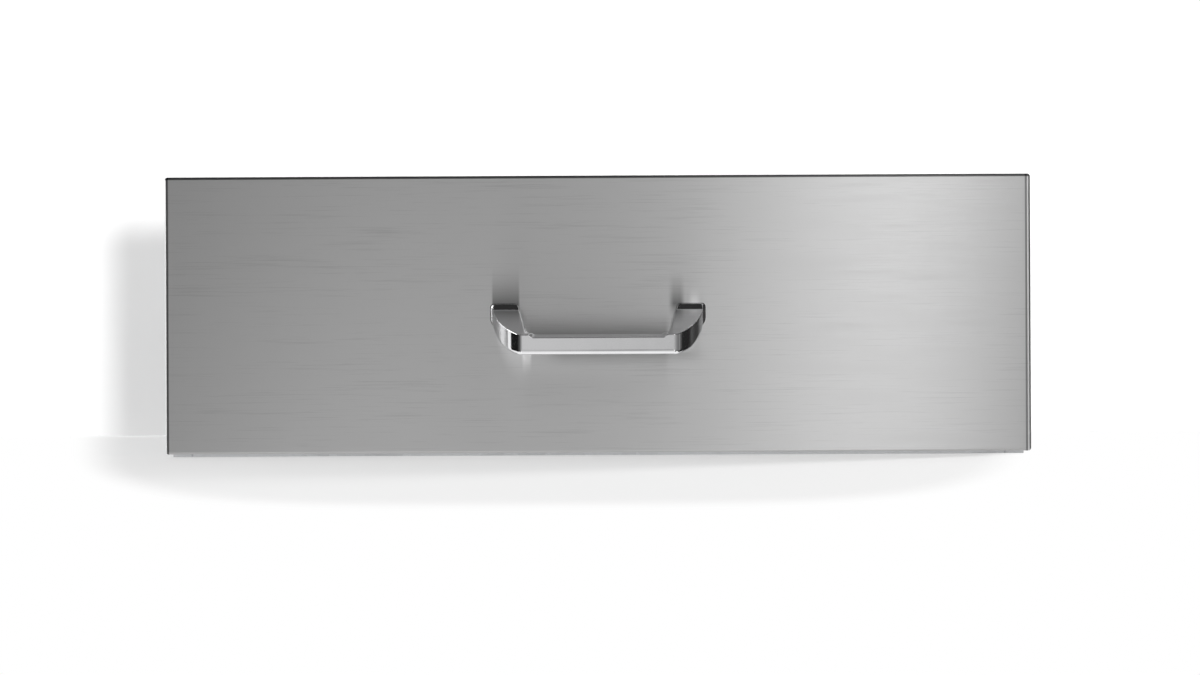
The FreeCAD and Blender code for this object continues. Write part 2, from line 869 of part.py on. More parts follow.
def hook_slots(wall_x0, wall_x1):
    """Windows in a right-hand wall that the hooks of a slide member reach through."""
    windows = []
    for inset in hook_insets:
        y = slide_front_y + inset
        windows.append(block(wall_x0 - 1, wall_x1 + 1, y - hook_play, y + hook_length + hook_play,
                             slide_centre_height - hook_height / 2 - hook_lip - hook_play,
                             slide_centre_height + hook_height / 2 + hook_play))
    return Part.Compound(windows)


def hooks(face_x, wall, direction):
    """Lanced hooks that pass through a wall and turn down behind it."""
    solids = []
    for inset in hook_insets:
        y = slide_front_y + inset
        low = slide_centre_height - hook_height / 2
        high = slide_centre_height + hook_height / 2
        x0, x1 = sorted((face_x - direction * slide_sheet / 2,
                         face_x + direction * (wall + hook_play + slide_sheet)))
        neck = block(x0, x1, y, y + hook_length, low, high)
        lip0, lip1 = sorted((face_x + direction * (wall + hook_play),
                             face_x + direction * (wall + hook_play + slide_sheet)))
        lip = block(lip0, lip1, y, y + hook_length, low - hook_lip, high)
        solids.append(neck.fuse(lip))
    return solids


def ball_places():
    """Distances along Y of the balls in one row."""
    pitch = cage_length / row_ball_count
    return [slide_front_y + cage_start + pitch * (index + 0.5) for index in range(row_ball_count)]


def cage(ball_reach, ball_height, web_reach, end_reach):
    """Folded strip that keeps two rows of balls apart, with a notch for each ball."""
    y0 = slide_front_y + cage_start
    half = ball_height + cage_sheet / 2
    points = [(end_reach, half), (web_reach, half), (web_reach, -half), (end_reach, -half)]
    face = folded_section(points, cage_sheet, 0, slide_place(y0))
    strip = face.extrude(vector(0, cage_length, 0))
    pocket = ball_radius + ball_pocket_clearance
    for y in ball_places():
        for side in (-1, 1):
            centre = slide_place(y)(ball_reach, side * ball_height)
            strip = strip.cut(block(centre.x - 2 * pocket, centre.x + pocket, y - pocket,
                                    y + pocket, centre.z - pocket, centre.z + pocket))
    return strip


def ball(centre):
    """Steel ball, drawn with flat facets because it is tiny and many."""
    rings = []
    for level in ball_levels:
        across = ball_radius * math.sqrt(1 - level * level)
        rings.append([centre + vector(across * math.cos(2 * math.pi * k / ball_side_count),
                                      across * math.sin(2 * math.pi * k / ball_side_count),
                                      ball_radius * level) for k in range(ball_side_count)])
    return stacked_rings(rings)


def ball_rows(ball_reach, ball_height):
    solids = []
    for y in ball_places():
        for side in (-1, 1):
            solids.append(ball(slide_place(y)(ball_reach, side * ball_height)))
    return Part.Compound(solids)


def outer_cage():
    middle_of_gap = slide_sheet + (web_gap - cage_sheet) / 2
    end = outer_ball_reach + track_radius - cage_end_gap
    return cage(outer_ball_reach, outer_ball_height, middle_of_gap, end)


def inner_cage():
    web = 2 * slide_sheet + web_gap + inner_cage_gap
    end = slide_width - slide_sheet - member_end_gap
    return cage(inner_ball_reach, inner_ball_height, web, end)


def slide_screws(seat_x, direction, wall):
    seat = vector(seat_x, slide_screw_y(), slide_centre_height)
    right = screw(seat, vector(direction, 0, 0), slide_screw_radius, slide_screw_head,
                  slide_screw_head_height, wall + slide_sheet)
    return Part.Compound([right, mirrored(right)])


def casing_slide_screws():
    return slide_screws(casing_width / 2, -1, casing_sheet)


def drawer_slide_screws():
    return slide_screws(box_half - box_sheet, 1, box_sheet)


def build():
    os.makedirs("parts", exist_ok=True)
    save("front_skin", front_skin())
    save("front_liner", front_liner())
    save("front_stiffener", front_stiffener())
    save("handle", handle())
    save("handle_backing_plate", handle_backing_plate())
    save("handle_screws", handle_screws())
    save("front_screws", front_screws())
    save("drawer_front_wall", front_wall())
    save("drawer_back_wall", box_cross_wall(box_back_y, -1))
    save("drawer_floor", box_floor())
    save_pair("drawer_side", box_side())
    save("casing_base", casing_base())
    save("casing_top", casing_top())
    save("casing_back", casing_back())
    save_pair("casing_side", casing_side())
    save("front_bumpers", front_bumpers())
    save_pair("slide_outer", slide_outer())
    save_pair("slide_middle", slide_middle())
    save_pair("slide_inner", slide_inner())
    save_pair("outer_cage", outer_cage())
    save_pair("inner_cage", inner_cage())
    save_pair("outer_balls", ball_rows(outer_ball_reach, outer_ball_height))
    save_pair("inner_balls", ball_rows(inner_ball_reach, inner_ball_height))
    save_pair("release_lever", release_lever())
    save("casing_slide_screws", casing_slide_screws())
    save("drawer_slide_screws", drawer_slide_screws())


build()
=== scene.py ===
import math
from collections import namedtuple

import bmesh
import bpy
from bpy.props import FloatProperty, FloatVectorProperty, PointerProperty
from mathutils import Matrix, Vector


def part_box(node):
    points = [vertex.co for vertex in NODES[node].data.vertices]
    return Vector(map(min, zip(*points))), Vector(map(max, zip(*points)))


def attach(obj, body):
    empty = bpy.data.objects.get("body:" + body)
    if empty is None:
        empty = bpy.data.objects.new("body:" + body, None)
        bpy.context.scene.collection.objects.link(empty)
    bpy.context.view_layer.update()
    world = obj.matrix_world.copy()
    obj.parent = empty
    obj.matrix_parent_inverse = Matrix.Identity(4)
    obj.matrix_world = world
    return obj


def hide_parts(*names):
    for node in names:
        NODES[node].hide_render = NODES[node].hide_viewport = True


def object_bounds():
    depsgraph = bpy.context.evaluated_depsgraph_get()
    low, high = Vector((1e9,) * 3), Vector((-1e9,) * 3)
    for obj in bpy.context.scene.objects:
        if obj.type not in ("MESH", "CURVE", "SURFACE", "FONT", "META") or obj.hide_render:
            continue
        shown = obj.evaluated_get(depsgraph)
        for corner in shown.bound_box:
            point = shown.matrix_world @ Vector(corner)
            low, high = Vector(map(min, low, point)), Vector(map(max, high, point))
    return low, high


bl_info = {
    "name": "Storage drawer unit",
    "version": (1, 0, 0),
    "blender": (4, 5, 0),
    "location": "3D View > Sidebar > Drawer",
    "description": "Finishes a built-in steel storage drawer with a cast pull",
    "category": "Object",
}

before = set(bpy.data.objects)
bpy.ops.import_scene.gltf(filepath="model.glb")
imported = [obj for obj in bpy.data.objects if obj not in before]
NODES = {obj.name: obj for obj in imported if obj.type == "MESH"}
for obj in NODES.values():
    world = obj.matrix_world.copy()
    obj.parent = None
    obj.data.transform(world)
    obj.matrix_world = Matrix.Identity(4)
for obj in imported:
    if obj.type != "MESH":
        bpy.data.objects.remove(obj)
CAD_LOW, CAD_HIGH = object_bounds()
FRONT_LOW, FRONT_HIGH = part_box("front_skin")
PULL_LOW, PULL_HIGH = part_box("handle")
FACE_Y = FRONT_LOW.y
FRONT_WIDTH = FRONT_HIGH.x - FRONT_LOW.x
FRONT_MIDDLE = (FRONT_LOW + FRONT_HIGH) / 2

# The photograph's frame, in its own pixels
PHOTO_WIDTH = 1200.0
PHOTO_HEIGHT = 675.0
PHOTO_FRONT_WIDTH = 866.0
PHOTO_FRONT_X = 598.0
PHOTO_FRONT_Y = 314.0

# Axis that the grain runs along
ALONG_X = 0
ALONG_Y = 1

# Painted reflections on the front, with places in metres: a smear is a soft patch of painted shade
# beside the pull, in for the pull's reflection and the shade next to it, that fades out over its
# reach, and an edge line is a painted reflection along a bent edge. A depth under zero makes them
# lighter, a painted highlight.
PaintedReflection = namedtuple("PaintedReflection", "low high start reach depth soft")
PaintedEdgeLine = namedtuple("PaintedEdgeLine", "axis middle half depth")


# Sizes and colours that a user would change

class PullShape(bpy.types.PropertyGroup):
    """Sizes of the cast pull."""
    foot_outer: FloatProperty(
        name="Foot outer half width", description="Half width over the feet at the front",
        default=0.0928, unit="LENGTH")
    foot_inner: FloatProperty(
        name="Foot inner half width", description="Half distance between the feet at the front",
        default=0.0685, unit="LENGTH")
    end_radius: FloatProperty(
        name="End radius", description="Plan radius of the curved ends",
        default=0.057, unit="LENGTH")
    face_half: FloatProperty(
        name="Face half width", description="Half width where the ends meet the bar's face",
        default=0.068, unit="LENGTH")
    inner_lean: FloatProperty(
        name="Inner lean", description="How far the legs' inner faces lean inward for each unit",
        default=0.185)
    projection: FloatProperty(
        name="Projection", description="Distance of the bar's face from the front",
        default=0.042, unit="LENGTH")
    bar_depth: FloatProperty(
        name="Bar depth", description="Thickness of the bar from face to back",
        default=0.0095, unit="LENGTH")
    corner: FloatProperty(
        name="Corner radius", description="Plan radius between the ends and the bar's face",
        default=0.008, unit="LENGTH")
    inner_corner: FloatProperty(
        name="Inner corner radius", description="Plan radius of the inner corners",
        default=0.004, unit="LENGTH")
    section_height: FloatProperty(
        name="Section height", description="Height of the cast section",
        default=0.0192, unit="LENGTH")
    bar_top: FloatProperty(
        name="Bar top", description="Height of the bar's top edge over the front's lower edge",
        default=0.1034, unit="LENGTH")
    drop: FloatProperty(
        name="Drop", description="How far the legs fall from the front to the bar",
        default=0.0241, unit="LENGTH")
    relief: FloatProperty(
        name="Relief", description="How far the bar's top lies below the legs' top",
        default=0.0025, unit="LENGTH")
    step_run: FloatProperty(
        name="Step run", description="Length of the ramp between leg top and bar top",
        default=0.0042, unit="LENGTH")
    flare_height: FloatProperty(
        name="Flare height", description="Rise of the foot against the front",
        default=0.0034, unit="LENGTH")
    flare_depth: FloatProperty(
        name="Flare depth", description="Depth over which the foot runs out into the leg",
        default=0.0046, unit="LENGTH")
    rim: FloatProperty(
        name="Rim", description="Narrow chamfer round the end of each foot",
        default=0.0016, unit="LENGTH")
    crease: FloatProperty(
        name="Crease radius", description="Rounding of the outer top edge",
        default=0.0009, unit="LENGTH")
    grip_round: FloatProperty(
        name="Grip rounding", description="Rounding of the inner edges",
        default=0.002, unit="LENGTH")
    bar_round: FloatProperty(
        name="Bar rounding", description="Rounding of the bar's upper back edge",
        default=0.0035, unit="LENGTH")
    belly_round: FloatProperty(
        name="Belly rounding", description="Rounding of the lower outer edge along the bar",
        default=0.003, unit="LENGTH")
    foot_round: FloatProperty(
        name="Foot rounding", description="Rounding of the lower outer edge at the front",
        default=0.01, unit="LENGTH")


class SteelFinish(bpy.types.PropertyGroup):
    """Colours and grain of the metals."""
    front_colour: FloatVectorProperty(
        name="Front steel", description="Colour of the brushed stainless front",
        subtype="COLOR", size=3, min=0.0, max=1.0, default=(0.62, 0.62, 0.62))
    front_roughness: FloatProperty(
        name="Front roughness", description="Roughness of the brushed front",
        default=0.36, min=0.0, max=1.0)
    front_anisotropy: FloatProperty(
        name="Front anisotropy", description="How far the grain stretches highlights",
        default=1.0, min=0.0, max=1.0)
    grain_pitch: FloatProperty(
        name="Grain pitch", description="Height of one brushed line",
        default=0.0012, unit="LENGTH")
    grain_length: FloatProperty(
        name="Grain length", description="Length of one brushed line",
        default=0.05, unit="LENGTH")
    chrome_colour: FloatVectorProperty(
        name="Chrome", description="Colour of the plated pull",
        subtype="COLOR", size=3, min=0.0, max=1.0, default=(0.86, 0.86, 0.87))
    zinc_colour: FloatVectorProperty(
        name="Galvanised sheet", description="Colour of the casing",
        subtype="COLOR", size=3, min=0.0, max=1.0, default=(0.6, 0.61, 0.62))


class StudioLight(bpy.types.PropertyGroup):
    """Lamps, cards and camera."""
    lens: FloatProperty(
        name="Lens", description="Camera focal length in millimetres", default=85.0)
    roll: FloatProperty(
        name="Roll", description="Camera roll", subtype="ANGLE", default=math.radians(0.27))
    key_strength: FloatProperty(
        name="Key", description="Power of the key lamp", default=36.0, subtype="POWER")
    surround: FloatProperty(
        name="Surround", description="Brightness of the room in diffuse light", default=0.55)
    ceiling: FloatProperty(
        name="Ceiling", description="Brightness of the room overhead in reflections",
        default=0.22)


# Material helpers

def shader_nodes(name):
    material = bpy.data.materials.new(name)
    material.use_nodes = True
    tree = material.node_tree
    shader = tree.nodes["Principled BSDF"]
    return material, tree, shader


def node(tree, kind, inputs=None, **settings):
    """Adds a node, sets its properties, then sets or links its inputs by name or number."""
    made = tree.nodes.new(kind)
    for key, value in settings.items():
        setattr(made, key, value)
    for key, value in (inputs or {}).items():
        socket = made.inputs[key]
        if isinstance(value, bpy.types.NodeSocket):
            tree.links.new(value, socket)
        else:
            socket.default_value = value
    return made


def place(tree, scale):
    """Object coordinates stretched by a scale along each axis."""
    coordinates = node(tree, "ShaderNodeTexCoord")
    mapped = node(tree, "ShaderNodeMapping",
                  {"Vector": coordinates.outputs["Object"], "Scale": scale})
    return mapped.outputs["Vector"]


def noise(tree, scale, detail=2.0, roughness=0.5):
    made = node(tree, "ShaderNodeTexNoise",
                {"Vector": place(tree, scale), "Scale": 1.0, "Detail": detail,
                 "Roughness": roughness})
    return made.outputs["Fac"]


def spread(tree, factor, low, high, source=(0.3, 0.7)):
    """Turns a noise factor into values between low and high."""
    made = node(tree, "ShaderNodeMapRange",
                {"Value": factor, "From Min": source[0], "From Max": source[1],
                 "To Min": low, "To Max": high})
    return made.outputs["Result"]


def tinted(tree, factor, colour, low, high):
    """A colour made darker or lighter by a factor."""
    return multiplied(tree, (*colour, 1.0), spread(tree, factor, low, high))


def bump(tree, height, strength, distance):
    made = node(tree, "ShaderNodeBump",
                {"Height": height, "Strength": strength, "Distance": distance})
    return made.outputs["Normal"]


def position(tree):
    """Object coordinates, one socket for each axis."""
    coordinates = node(tree, "ShaderNodeTexCoord")
    return node(tree, "ShaderNodeSeparateXYZ", {0: coordinates.outputs["Object"]}).outputs


def math_node(tree, operation, *values):
    return node(tree, "ShaderNodeMath", dict(enumerate(values)), operation=operation).outputs[0]


def distance_from(tree, value, middle):
    return math_node(tree, "ABSOLUTE", math_node(tree, "SUBTRACT", value, middle))


def added(tree, first, second, weight):
    """First plus weight times second."""
    return math_node(tree, "MULTIPLY_ADD", second, weight, first)


def multiplied(tree, colour, factor):
    made = node(tree, "ShaderNodeMix", {"Factor": 1.0, 6: colour, 7: factor},
                data_type="RGBA", blend_type="MULTIPLY")
    return made.outputs[2]


def painted_reflections(tree, painted_patches):
    """Painted shade and painted highlights next to the pull, in for its reflection in the brushed
    sheet: one over most of the front, and less or more next to the pull.
    """
    lead_in = 0.012
    axes = position(tree)
    whole = None
    for painted_patch in painted_patches:
        away = distance_from(tree, axes["X"], (painted_patch.low + painted_patch.high) / 2)
        half = (painted_patch.high - painted_patch.low) / 2
        beside = node(tree, "ShaderNodeMapRange",
                      {"Value": away, "From Min": half + painted_patch.soft,
                       "From Max": half - painted_patch.soft, "To Min": 0.0, "To Max": painted_patch.depth},
                      interpolation_type="SMOOTHSTEP").outputs[0]
        fading = spread(tree, axes["Z"], 0.0, 1.0, (painted_patch.start + painted_patch.reach, painted_patch.start))
        behind = painted_patch.start - math.copysign(lead_in, painted_patch.reach)
        rising = spread(tree, axes["Z"], 0.0, 1.0, (behind, painted_patch.start))
        near = math_node(tree, "POWER", fading, 2.0)
        held = math_node(tree, "MULTIPLY", near, rising)
        lost = math_node(tree, "MULTIPLY", held, beside)
        left = math_node(tree, "SUBTRACT", 1.0, lost)
        if whole is not None:
            left = math_node(tree, "MULTIPLY", left, whole)
        whole = left
    return whole


def painted_edge_lines(tree, lines):
    """Painted reflections along the bent edges: one over the front's face, and less or more along
    its bent edges.
    """
    blur = 0.0003
    axes = position(tree)
    total = None
    for line in lines:
        away = distance_from(tree, axes[line.axis], line.middle)
        mark = spread(tree, away, 1.0, 1.0 - line.depth, (line.half + blur, line.half - blur))
        if total is not None:
            mark = math_node(tree, "MULTIPLY", total, mark)
        total = mark
    round_the_bend = spread(tree, axes["Y"], 0.0, 1.0, (FACE_Y + 0.002, FACE_Y + 0.004))
    return node(tree, "ShaderNodeMix", {"Factor": round_the_bend, 2: total, 3: 1.0},
                data_type="FLOAT").outputs[0]


def brushed_steel(name, colour, roughness, anisotropy, pitch, length, along, marks=None):
    """Sheet brushed along one axis, with highlights stretched across the grain.

    marks holds the painted reflections of a front, where it has them: smears of painted shade and
    painted highlight beside the pull, and painted lines along its bent edges.
    """
    material, tree, shader = shader_nodes(name)
    fine = [1 / pitch] * 3
    broad = [1 / (pitch * 9)] * 3
    fine[along] = 1 / length
    broad[along] = 0.4 / length
    lines = noise(tree, fine, 3.0, 0.6)
    bands = noise(tree, broad, 2.0, 0.5)
    mixed = added(tree, lines, bands, 0.5)
    tone = tinted(tree, mixed, colour, 0.88, 1.12)
    # Painted reflections of the pull and of the bent edges, multiplied into the colour
    if marks:
        painted_patches, edges = marks
        tone = multiplied(tree, tone, painted_reflections(tree, painted_patches))
        tone = multiplied(tree, tone, painted_edge_lines(tree, edges))
    tree.links.new(tone, shader.inputs["Base Color"])
    tree.links.new(spread(tree, mixed, roughness * 0.92, roughness * 1.08, (0.5, 1.0)),
                   shader.inputs["Roughness"])
    tree.links.new(bump(tree, lines, 0.12, pitch * 0.05), shader.inputs["Normal"])
    tangent = node(tree, "ShaderNodeCombineXYZ", {0: 0.02, 1: 0.02, 2: 1.0})
    tree.links.new(tangent.outputs[0], shader.inputs["Tangent"])
    shader.inputs["Metallic"].default_value = 1.0
    shader.inputs["Anisotropic"].default_value = anisotropy
    return material


def chrome(name, colour):
    """Polished plate with faint polishing marks and a trace of handling."""
    material, tree, shader = shader_nodes(name)
    haze = noise(tree, (60, 60, 60), 4.0, 0.6)
    ripple = noise(tree, (90, 90, 90), 1.0, 0.3)
    tree.links.new(tinted(tree, haze, colour, 0.97, 1.02), shader.inputs["Base Color"])
    tree.links.new(spread(tree, haze, 0.045, 0.085), shader.inputs["Roughness"])
    tree.links.new(bump(tree, ripple, 0.05, 0.0002), shader.inputs["Normal"])
    shader.inputs["Metallic"].default_value = 1.0
    return material


def galvanised(name, colour):
    """Zinc coated sheet with flat crystals of slightly different tone."""
    material, tree, shader = shader_nodes(name)
    cells = node(tree, "ShaderNodeTexVoronoi",
                 {"Vector": place(tree, (1, 1, 1)), "Scale": 95.0, "Randomness": 1.0})
    grey = node(tree, "ShaderNodeRGBToBW", {"Color": cells.outputs["Color"]})
    cloud = noise(tree, (9, 9, 9), 3.0, 0.55)
    tone = added(tree, cloud, grey.outputs["Val"], 0.35)
    tree.links.new(tinted(tree, tone, colour, 0.82, 1.12), shader.inputs["Base Color"])
    tree.links.new(spread(tree, grey.outputs["Val"], 0.34, 0.5, (0.1, 0.9)),
                   shader.inputs["Roughness"])
    tree.links.new(bump(tree, grey.outputs["Val"], 0.05, 0.0003), shader.inputs["Normal"])
    shader.inputs["Metallic"].default_value = 0.7
    return material


def bright_zinc(name, colour):
    """Plated strip with roll marks along its length."""
    material, tree, shader = shader_nodes(name)
    marks = noise(tree, (900, 7, 900), 3.0, 0.6)
    cloud = noise(tree, (40, 18, 40), 3.0, 0.6)
    tone = added(tree, marks, cloud, 0.6)
    tree.links.new(tinted(tree, tone, colour, 0.88, 1.06), shader.inputs["Base Color"])
    tree.links.new(spread(tree, tone, 0.2, 0.36, (0.5, 1.1)), shader.inputs["Roughness"])
    tree.links.new(bump(tree, marks, 0.08, 0.0001), shader.inputs["Normal"])
    shader.inputs["Metallic"].default_value = 1.0
    return material


def moulded(name, colour, roughness, grain_scale, depth):
    """Moulded plastic or rubber with a fine leathery grain."""
    material, tree, shader = shader_nodes(name)
    grain = noise(tree, (grain_scale,) * 3, 3.0, 0.6)
    tree.links.new(tinted(tree, grain, colour, 0.8, 1.25), shader.inputs["Base Color"])
    tree.links.new(spread(tree, grain, roughness * 0.9, roughness * 1.1),
                   shader.inputs["Roughness"])
    tree.links.new(bump(tree, grain, 0.4, depth), shader.inputs["Normal"])
    return material


def dress(names, material):
    for name in names:
        slots = NODES[name].data.materials
        slots.clear()
        slots.append(material)


def paired(*names):
    return [name + side for name in names for side in ("_left", "_right")]


# Cast pull, lofted through rounded sections from one foot to the other

def lerp(a, b, share):
    return a + (b - a) * share


def arc_points(before, corner, after, radius, steps):
    """Points of the arc that rounds a flat corner."""
    u = (before - corner).normalized()
    w = (after - corner).normalized()
    half = u.angle(w) / 2
    centre = corner + (u + w).normalized() * (radius / math.sin(half))
    start = corner + u * (radius / math.tan(half)) - centre
    end = corner + w * (radius / math.tan(half)) - centre
    turn = start.angle(end)
    points = []
    for step in range(steps + 1):
        share = step / steps
        from_start = start * (math.sin((1 - share) * turn) / math.sin(turn))
        from_end = end * (math.sin(share * turn) / math.sin(turn))
        points.append(centre + from_start + from_end)
    return points


class PullLoft:
    """Plan lines, top plane and sections of the pull, for its right half."""

    flare_steps = 5
    leg_steps = 9
    end_steps = 12
    corner_steps = 10
    bar_steps = 40
    round_steps = 7
    side_shares = (0.12, 0.5, 0.88)
    rim_depth_share = 0.45
    flare_power = 1.15
    foot_edge = 0.0025
    first_bar_step = 0.35
    bar_step_growth = 0.65
    skew_power = 4
    foot_round_fade = 1.4

    def __init__(self, shape):
        self.shape = shape
        depth = shape.projection
        back = depth - shape.bar_depth
        foot = Vector((shape.foot_outer, 0))
        face_end = Vector((shape.face_half, depth))
        chord = face_end - foot
        across = Vector((-chord.y, chord.x)).normalized()
        rise = math.sqrt(shape.end_radius ** 2 - chord.length_squared / 4)
        self.centre = (foot + face_end) / 2 + across * rise
        backward = Vector((face_end.y - self.centre.y, self.centre.x - face_end.x))
        corner = arc_points(face_end + backward, face_end, Vector((0, depth)), shape.corner,
                            self.corner_steps)
        self.inner_arc = arc_points(
            Vector((self.inner(0), 0)), Vector((self.inner(back), back)), Vector((0, back)),
            shape.inner_corner, self.end_steps + self.corner_steps)
        start = self.inner_arc[0].y
        sweep = [lerp(start, corner[0].y, step / self.end_steps)
                 for step in range(self.end_steps)]
        self.outer_arc = [Vector((self.outer(y), y)) for y in sweep] + corner
        self.sharp_rings = [0, 1, self.flare_steps + 1]

    def outer(self, depth):
        reach = self.shape.end_radius ** 2 - (depth - self.centre.y) ** 2
        return self.centre.x + math.sqrt(reach)

    def inner(self, depth):
        return self.shape.foot_inner - self.shape.inner_lean * depth

    def top(self, depth):
        shape = self.shape
        slope = shape.drop / shape.projection
        return FRONT_LOW.z + shape.bar_top + shape.drop - slope * depth

    def lowered(self, point):
        """How far the top lies below the legs' plane at a plan point."""
        start = self.inner(self.shape.projection)
        share = min(1.0, max(0.0, (start - point.x) / self.shape.step_run))
        return self.shape.relief * share * share * (3 - 2 * share)

    def stations(self):
        """Plan points, true thickness, flare and turn of each section, foot to middle."""
        shape = self.shape
        found = []
        inner, outer, width, share, turn = self.leg_station(0.0, 1.0)
        found.append((inner, outer + Vector((shape.rim, 0)), width + shape.rim, share, turn))
        rim_end = shape.rim * self.rim_depth_share / shape.flare_depth
        for step in range(self.flare_steps + 1):
            part = lerp(rim_end, 1.0, step / self.flare_steps)
            found.append(self.leg_station(part * shape.flare_depth,
                                          (1 - part) ** self.flare_power))
        for step in range(1, self.leg_steps + 1):
            depth = lerp(shape.flare_depth, self.inner_arc[0].y, step / self.leg_steps)
            found.append(self.leg_station(depth, 0.0))
        leg_width = found[-1][2]
        pairs = list(zip(self.inner_arc, self.outer_arc))[1:]
        for step, (first, second) in enumerate(pairs, 1):
            turn = step / len(pairs)
            turn = turn * turn * (3 - 2 * turn)
            found.append((first, second, lerp(leg_width, shape.bar_depth, turn), 0.0, turn))
        return found + self.bar_stations()

    def bar_stations(self):
        """Stations along the bar, close together at its end and square across in the middle."""
        inner, outer = self.inner_arc[-1], self.outer_arc[-1]
        found = []
        for step in range(1, self.bar_steps + 1):
            part = step / self.bar_steps
            part = part * (self.first_bar_step + self.bar_step_growth * part)
            x = outer.x * (1 - part)
            skew = (outer.x - inner.x) * (1 - part) ** self.skew_power
            found.append((Vector((x - skew, inner.y)), Vector((x, outer.y)),
                          self.shape.bar_depth, 0.0, 1.0))
        return found

    def leg_station(self, depth, share):
        """Station across a leg at a depth, with its share of the flare."""
        inner = Vector((self.inner(depth), depth))
        outer = Vector((self.outer(depth), depth))
        return inner, outer, outer.x - inner.x, share, 0.0

    def section(self, inner, outer, thickness, flare, turn):
        """Rounded outline of one section, as points in space."""
        shape = self.shape
        across = outer - inner
        width = across.length
        direction = across / width
        rise = shape.flare_height * flare
        height = shape.section_height
        low_in = self.top(inner.y) - height
        low_out = self.top(outer.y) - height
        top_in = self.top(inner.y) - self.lowered(inner) + rise
        top_out = self.top(outer.y) - self.lowered(outer) + rise
        corners = [Vector((0, low_in)), Vector((thickness, low_out)),
                   Vector((thickness, top_out)), Vector((0, top_in))]
        near_front = max(0.0, 1 - self.foot_round_fade * outer.y / shape.projection)
        belly = lerp(shape.belly_round, shape.foot_round, near_front)
        edge = self.foot_edge * flare
        upper = lerp(shape.grip_round + edge, shape.bar_round, turn)
        radii = [shape.grip_round, belly, shape.crease + edge, upper]
        flat = []
        for index, corner in enumerate(corners):
            arc = arc_points(corners[index - 1], corner, corners[(index + 1) % 4],
                             radii[index], self.round_steps)
            flat.append(arc)
        outline = []
        for index, arc in enumerate(flat):
            following = flat[(index + 1) % 4][0]
            outline += arc
            outline += [arc[-1].lerp(following, share) for share in self.side_shares]
        points = []
        for u, z in outline:
            plan = inner + direction * (u * width / thickness)
            points.append(Vector((plan.x, FACE_Y - plan.y, z)))
        return points


def lofted_mesh(name, rings, sharp_rings):
    """Closed mesh of quads between rings of equally many points, crisp at some rings."""
    mesh = bpy.data.meshes.new(name)
    shape = bmesh.new()
    rows = [[shape.verts.new(point) for point in ring] for ring in rings]
    count = len(rings[0])
    for lower, upper in zip(rows, rows[1:]):
        for k in range(count):
            after = (k + 1) % count
            shape.faces.new((lower[k], lower[after], upper[after], upper[k]))
    shape.faces.new(rows[0])
    shape.faces.new(list(reversed(rows[-1])))
    bmesh.ops.recalc_face_normals(shape, faces=shape.faces)
    for face in shape.faces:
        face.smooth = True
    for index in sharp_rings:
        row = rows[index]
        for k in range(count):
            shape.edges.get((row[k], row[(k + 1) % count])).smooth = False
    shape.to_mesh(mesh)
    shape.free()
    piece = bpy.data.objects.new(name, mesh)
    bpy.context.scene.collection.objects.link(piece)
    return piece


def even_normals(piece):
    """Keeps flat faces flat between rounded edges."""
    modifier = piece.modifiers.new("flat_faces", "WEIGHTED_NORMAL")
    modifier.mode = "FACE_AREA"
    modifier.weight = 60


# Operators

class FinishFront(bpy.types.Operator):
    """Gives the folded front its level brushed grain with painted reflections of the pull and of
    its bent edges, and dresses what is behind it
    """
    bl_idname = "drawer_unit.finish_front"
    bl_label = "Finish the front"

    def execute(self, context):
        finish = context.scene.steel_finish
        bar_top = FRONT_LOW.z + context.scene.pull_shape.bar_top
        # Painted shade and highlights in for the pull's reflection, and painted reflections along
        # the bends
        marks = self.painted_pull_reflections(bar_top), self.painted_bend_lines()
        steel = brushed_steel("brushed stainless front", finish.front_colour,
                              finish.front_roughness, finish.front_anisotropy,
                              finish.grain_pitch, finish.grain_length, ALONG_X, marks)
        dress(["front_skin"], steel)
        dress(["front_liner", "front_stiffener", "handle_backing_plate"],
              galvanised("galvanised liner", finish.zinc_colour))
        return {"FINISHED"}

    def painted_pull_reflections(self, bar_top):
        """Painted shade and painted highlights over both feet, over the bar and under it, as the
        brushed sheet mirrors the pull.
        """
        over_feet = PULL_HIGH.z + 0.002
        over_bar = bar_top + 0.001
        under_bar = PULL_LOW.z - 0.001
        return [PaintedReflection(-0.0925, -0.069, over_feet, reach=0.037, depth=0.62, soft=0.001),
                PaintedReflection(0.064, 0.0745, over_feet, reach=0.034, depth=0.65, soft=0.003),
                PaintedReflection(0.081, 0.0885, over_feet, reach=0.018, depth=-0.5, soft=0.003),
                PaintedReflection(-0.062, 0.062, over_bar, reach=0.025, depth=0.5, soft=0.004),
                PaintedReflection(-0.04, 0.085, under_bar, reach=-0.014, depth=0.3, soft=0.015),
                PaintedReflection(-0.066, -0.059, under_bar, reach=-0.019, depth=-0.6, soft=0.0015)]

    def painted_bend_lines(self):
        """Painted reflections: dark lines where the sheet bends back, with light ones beside them
        at the sides.
        """
        return [PaintedEdgeLine("X", FRONT_LOW.x + 0.0021, half=0.001, depth=0.75),
                PaintedEdgeLine("X", FRONT_LOW.x + 0.0004, half=0.0005, depth=-0.4),
                PaintedEdgeLine("X", FRONT_HIGH.x - 0.0007, half=0.0008, depth=0.65),
                PaintedEdgeLine("X", FRONT_HIGH.x - 0.0023, half=0.0006, depth=-0.6),
                PaintedEdgeLine("X", FRONT_HIGH.x - 0.0039, half=0.0009, depth=0.6),
                PaintedEdgeLine("Z", FRONT_HIGH.z - 0.001, half=0.0014, depth=0.8),
                PaintedEdgeLine("Z", FRONT_LOW.z + 0.0006, half=0.0007, depth=0.3)]


